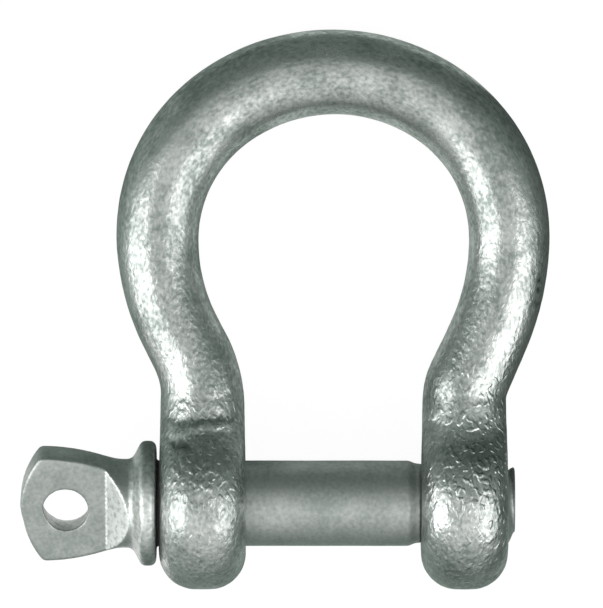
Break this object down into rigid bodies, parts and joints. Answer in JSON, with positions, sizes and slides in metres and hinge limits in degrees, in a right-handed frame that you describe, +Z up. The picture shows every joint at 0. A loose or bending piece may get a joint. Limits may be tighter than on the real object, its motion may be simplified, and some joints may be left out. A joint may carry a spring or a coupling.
{
  "type": "harp shackle",
  "caption": "Galvanised harp shackle: a forged steel bow with two round ears, closed by a screw pin that has a collar and a flattened eye.",
  "frame": {"origin": "on the axis of the pin, midway between the two ears", "axes": "+X along the pin from its head to its screwed end, +Y from the pin towards the crown of the bow, +Z up off the surface that the shackle lies on"},
  "size_m": [0.0616, 0.065, 0.0202],
  "materials": {
    "galvanised_bow": "hot-dip galvanised, pebbly on the legs and smoother over the crown",
    "galvanised_pin": "hot-dip galvanised, smooth and mottled"
  },
  "bodies": {
    "bow": {"bow": "galvanised_bow"},
    "screw_pin": {"screw_pin": "galvanised_pin"}
  },
  "joints": [
    {"name": "pin_draw", "type": "slide", "parent": "bow", "child": "screw_pin", "axis": [-1, 0, 0], "range_m": [0, 0.045]}
  ]
}
